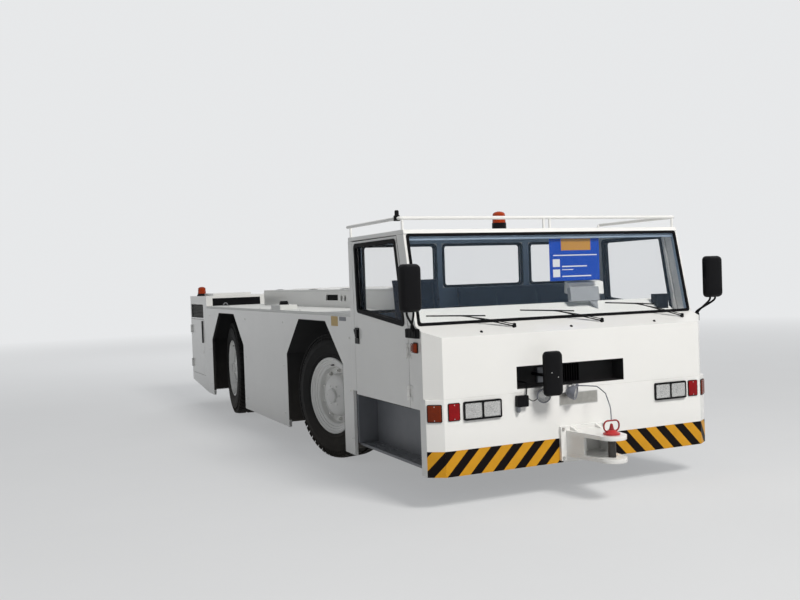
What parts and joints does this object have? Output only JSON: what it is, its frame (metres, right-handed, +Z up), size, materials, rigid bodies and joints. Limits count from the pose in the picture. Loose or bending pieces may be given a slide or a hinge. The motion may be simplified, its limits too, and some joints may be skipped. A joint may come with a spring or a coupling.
{
  "type": "aircraft pushback tractor",
  "caption": "Low flat-decked towing tractor with a full-width hinged-door cab, steered front and rear wheels and a towing jaw at each end",
  "frame": {"origin": "on the ground, below the middle of the box that holds the whole tractor", "axes": "+Z up, the front with its cab faces -Y, +X is the tractor's left"},
  "size_m": [2.886, 8.4698, 2.18],
  "materials": {
    "white_paint": "gloss white paint",
    "dash_panel": "pale moulded dash",
    "dark_paint": "dark chassis paint",
    "grey_paint": "grey machine paint",
    "bare_steel": "forged and machined steel",
    "red_paint": "red paint on the towing pins",
    "black_plastic": "black moulded plastic",
    "seat_cloth": "dark patterned cloth",
    "cab_glazing": "clear glass with a faint tint",
    "amber_lens": "amber lens",
    "red_lens": "red lens",
    "lamp_lens": "clear fluted lens",
    "tyre": "black rubber"
  },
  "bodies": {
    "chassis": {"frame": "dark_paint", "front_bumper": "white_paint", "nose_panel": "white_paint", "step_wells": "grey_paint", "cab_floor": "dark_paint", "cab_pillars": "white_paint", "cab_rear_wall": "white_paint", "roof_panel": "white_paint", "windscreen_frame": "white_paint", "cab_glass": "cab_glazing", "dashboard": "dash_panel", "steering_wheel": "black_plastic", "seats": "seat_cloth", "left_side_panel": "white_paint", "right_side_panel": "white_paint", "deck": "white_paint", "hood_frame": "white_paint", "tail_shell": "white_paint", "tail_grilles": "dark_paint", "engine_block": "grey_paint", "front_axle": "dark_paint", "rear_axle": "dark_paint", "prop_shaft": "bare_steel", "front_hitch": "white_paint", "rear_hitch": "white_paint", "hitch_pins": "red_paint", "roof_rail": "white_paint", "amber_lamps": "amber_lens", "headlamps": "lamp_lens", "red_lamps": "red_lens", "side_mirrors": "black_plastic", "front_mirror": "black_plastic", "wipers": "black_plastic"},
    "left_door": {"left_door": "white_paint", "left_door_glass": "cab_glazing"},
    "right_door": {"right_door": "white_paint", "right_door_glass": "cab_glazing"},
    "front_hood_lid": {"front_hood_lid": "white_paint"},
    "rear_hood_lid": {"rear_hood_lid": "white_paint"},
    "left_tail_door": {"left_tail_door": "white_paint"},
    "right_tail_door": {"right_tail_door": "white_paint"},
    "front_tie_rod": {"front_tie_rod": "bare_steel"},
    "rear_tie_rod": {"rear_tie_rod": "bare_steel"},
    "front_left_knuckle": {"front_left_knuckle": "bare_steel"},
    "front_left_wheel": {"front_left_rim": "white_paint", "front_left_tyre": "tyre"},
    "front_right_knuckle": {"front_right_knuckle": "bare_steel"},
    "front_right_wheel": {"front_right_rim": "white_paint", "front_right_tyre": "tyre"},
    "rear_left_knuckle": {"rear_left_knuckle": "bare_steel"},
    "rear_left_wheel": {"rear_left_rim": "white_paint", "rear_left_tyre": "tyre"},
    "rear_right_knuckle": {"rear_right_knuckle": "bare_steel"},
    "rear_right_wheel": {"rear_right_rim": "white_paint", "rear_right_tyre": "tyre"}
  },
  "joints": [
    {"name": "front_left_steer", "type": "hinge", "parent": "chassis", "child": "front_left_knuckle", "pos_m": [0.79, -1.335, 0.58], "axis": [0, 0, 1], "range_deg": [-42, 14]},
    {"name": "front_left_spin", "type": "hinge", "parent": "front_left_knuckle", "child": "front_left_wheel", "pos_m": [0.9695, -1.29024, 0.58], "axis": [0.9703, 0.2419, 0], "continuous": true},
    {"name": "front_right_steer", "type": "hinge", "parent": "chassis", "child": "front_right_knuckle", "pos_m": [-0.79, -1.335, 0.58], "axis": [0, 0, 1], "range_deg": [-42, 14]},
    {"name": "front_right_spin", "type": "hinge", "parent": "front_right_knuckle", "child": "front_right_wheel", "pos_m": [-0.9695, -1.37976, 0.58], "axis": [0.9703, 0.2419, 0], "continuous": true},
    {"name": "front_tie_rod_pivot", "type": "hinge", "parent": "front_left_knuckle", "child": "front_tie_rod", "pos_m": [0.71742, -1.04391, 0.44], "axis": [0, 0, 1], "range_deg": [-14, 42]},
    {"name": "rear_left_steer", "type": "hinge", "parent": "chassis", "child": "rear_left_knuckle", "pos_m": [0.79, 2.13, 0.58], "axis": [0, 0, 1], "range_deg": [-22, 34]},
    {"name": "rear_left_spin", "type": "hinge", "parent": "rear_left_knuckle", "child": "rear_left_wheel", "pos_m": [0.97399, 2.11066, 0.58], "axis": [0.9945, -0.1045, 0], "continuous": true},
    {"name": "rear_right_steer", "type": "hinge", "parent": "chassis", "child": "rear_right_knuckle", "pos_m": [-0.79, 2.13, 0.58], "axis": [0, 0, 1], "range_deg": [-22, 34]},
    {"name": "rear_right_spin", "type": "hinge", "parent": "rear_right_knuckle", "child": "rear_right_wheel", "pos_m": [-0.97399, 2.14934, 0.58], "axis": [0.9945, -0.1045, 0], "continuous": true},
    {"name": "rear_tie_rod_pivot", "type": "hinge", "parent": "rear_left_knuckle", "child": "rear_tie_rod", "pos_m": [0.75864, 1.83164, 0.44], "axis": [0, 0, 1], "range_deg": [-34, 22]},
    {"name": "left_door_hinge", "type": "hinge", "parent": "chassis", "child": "left_door", "pos_m": [1.262, -3.4505, 0.8], "axis": [0, 0, 1], "range_deg": [-80, 0]},
    {"name": "right_door_hinge", "type": "hinge", "parent": "chassis", "child": "right_door", "pos_m": [-1.262, -3.4505, 0.8], "axis": [0, 0, 1], "range_deg": [0, 80]},
    {"name": "left_tail_door_hinge", "type": "hinge", "parent": "chassis", "child": "left_tail_door", "pos_m": [1.262, 3.8725, 0.8], "axis": [0, 0, 1], "range_deg": [0, 110]},
    {"name": "right_tail_door_hinge", "type": "hinge", "parent": "chassis", "child": "right_tail_door", "pos_m": [-1.262, 3.8725, 0.8], "axis": [0, 0, 1], "range_deg": [-110, 0]},
    {"name": "front_hood_lid_hinge", "type": "hinge", "parent": "chassis", "child": "front_hood_lid", "pos_m": [0.662, -1.145, 1.542], "axis": [0, 1, 0], "range_deg": [0, 75]},
    {"name": "rear_hood_lid_hinge", "type": "hinge", "parent": "chassis", "child": "rear_hood_lid", "pos_m": [0.662, 1.105, 1.542], "axis": [0, 1, 0], "range_deg": [0, 75]}
  ],
  "couplings": [
    {"joint": "front_right_steer", "follows": "front_left_steer", "ratio": 1},
    {"joint": "front_tie_rod_pivot", "follows": "front_left_steer", "ratio": -1},
    {"joint": "rear_right_steer", "follows": "rear_left_steer", "ratio": 1},
    {"joint": "rear_tie_rod_pivot", "follows": "rear_left_steer", "ratio": -1}
  ]
}
